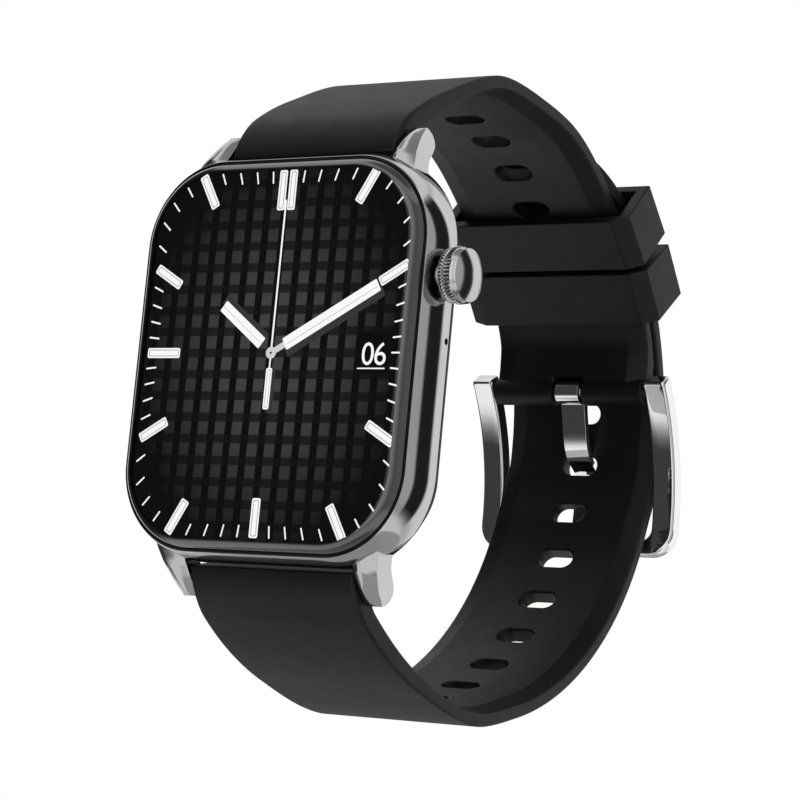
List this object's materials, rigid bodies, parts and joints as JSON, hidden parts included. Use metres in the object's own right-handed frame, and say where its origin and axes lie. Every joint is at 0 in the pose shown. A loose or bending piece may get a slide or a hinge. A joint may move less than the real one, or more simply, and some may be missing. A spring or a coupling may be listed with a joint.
{
  "type": "smartwatch",
  "caption": "Rectangular smartwatch with a curved cover glass, a turning and pressing side crown, and a soft strap buckled into a loop.",
  "frame": {"origin": "centre of the sensor window's flat face, the face that rests on the wrist", "axes": "+X to 3 o'clock, the crown side; +Y from the case back towards the wrist, so the dial faces -Y; +Z to 12 o'clock"},
  "size_m": [0.0388, 0.0695, 0.0684],
  "materials": {
    "glass": "polished",
    "panel": "gloss",
    "frame_metal": "polished gunmetal",
    "crown_metal": "polished gunmetal",
    "steel": "mirror polished",
    "bar_steel": "satin",
    "silicone": "satin",
    "seal": "matt",
    "back_plastic": "fine satin",
    "inner_plastic": "matt",
    "board": "solder mask",
    "flex": "satin",
    "foil": "satin",
    "chip": "matt",
    "gold": "polished",
    "led": "gloss"
  },
  "bodies": {
    "case": {"cover_glass": "glass", "glass_gasket": "seal", "display_panel": "panel", "display_flex": "flex", "mid_frame": "frame_metal", "lugs": "frame_metal", "chassis": "inner_plastic", "battery": "foil", "main_board": "board", "shield_can": "foil", "chips": "chip", "board_connectors": "gold", "vibration_motor": "foil", "speaker": "inner_plastic", "speaker_mesh": "bar_steel", "microphone": "gold", "mic_boot": "seal", "antenna_strip": "gold", "crown_o_ring": "seal", "crown_bushing": "crown_metal", "crown_switch": "foil", "back_cover": "back_plastic", "back_gasket": "seal", "back_screws": "bar_steel", "sensor_window": "back_plastic", "sensor_board": "board", "sensor_leds": "led", "photodiodes": "chip", "charging_contacts": "gold", "charging_magnets": "foil"},
    "crown_slide": {"crown_clip": "bar_steel"},
    "crown": {"crown_cap": "crown_metal", "crown_stem": "bar_steel"},
    "strap_short": {"strap_short": "silicone", "spring_bar_upper": "bar_steel"},
    "strap_long": {"strap_long": "silicone", "spring_bar_lower": "bar_steel"},
    "release_upper": {"release_pin_upper": "bar_steel"},
    "release_lower": {"release_pin_lower": "bar_steel"},
    "keeper_upper": {"keeper_upper": "silicone"},
    "keeper_lower": {"keeper_lower": "silicone"},
    "buckle": {"buckle_frame": "steel", "buckle_pin": "bar_steel"},
    "tongue": {"buckle_tongue": "steel"}
  },
  "joints": [
    {"name": "crown_press", "type": "slide", "parent": "case", "child": "crown_slide", "axis": [-1, 0, 0], "range_m": [0, 0.0005], "stiffness_N_per_m": 200, "springref_m": -0.002},
    {"name": "crown_turn", "type": "hinge", "parent": "crown_slide", "child": "crown", "pos_m": [0.019, -0.007, 0.0083], "axis": [1, 0, 0], "continuous": true},
    {"name": "strap_short_pivot", "type": "hinge", "parent": "case", "child": "strap_short", "pos_m": [0, -0.0041, 0.0229], "axis": [1, 0, 0], "range_deg": [-0.25, 0.25]},
    {"name": "strap_long_pivot", "type": "hinge", "parent": "case", "child": "strap_long", "pos_m": [0, -0.0041, -0.0229], "axis": [1, 0, 0], "range_deg": [-0.25, 0.25]},
    {"name": "release_upper_slide", "type": "slide", "parent": "strap_short", "child": "release_upper", "axis": [-1, 0, 0], "range_m": [0, 0.0013], "stiffness_N_per_m": 150, "springref_m": -0.002},
    {"name": "release_lower_slide", "type": "slide", "parent": "strap_long", "child": "release_lower", "axis": [-1, 0, 0], "range_m": [0, 0.0013], "stiffness_N_per_m": 150, "springref_m": -0.002},
    {"name": "keeper_upper_travel", "type": "hinge", "parent": "strap_short", "child": "keeper_upper", "pos_m": [0, 0.02116, -0.00234], "axis": [1, 0, 0], "range_deg": [0, 3.2]},
    {"name": "keeper_lower_travel", "type": "hinge", "parent": "strap_short", "child": "keeper_lower", "pos_m": [0, 0.02248, -0.00108], "axis": [1, 0, 0], "range_deg": [-1.2, 0]},
    {"name": "buckle_pivot", "type": "hinge", "parent": "strap_short", "child": "buckle", "pos_m": [0, 0.0519, 0.00635], "axis": [1, 0, 0], "range_deg": [-0.8, 0.8]},
    {"name": "tongue_pivot", "type": "hinge", "parent": "strap_short", "child": "tongue", "pos_m": [0, 0.0519, 0.00635], "axis": [1, 0, 0], "range_deg": [-0.8, 0.8]}
  ],
  "couplings": [
    {"joint": "strap_short_pivot", "follows": "strap_long_pivot", "ratio": 1},
    {"joint": "tongue_pivot", "follows": "buckle_pivot", "ratio": 1}
  ]
}
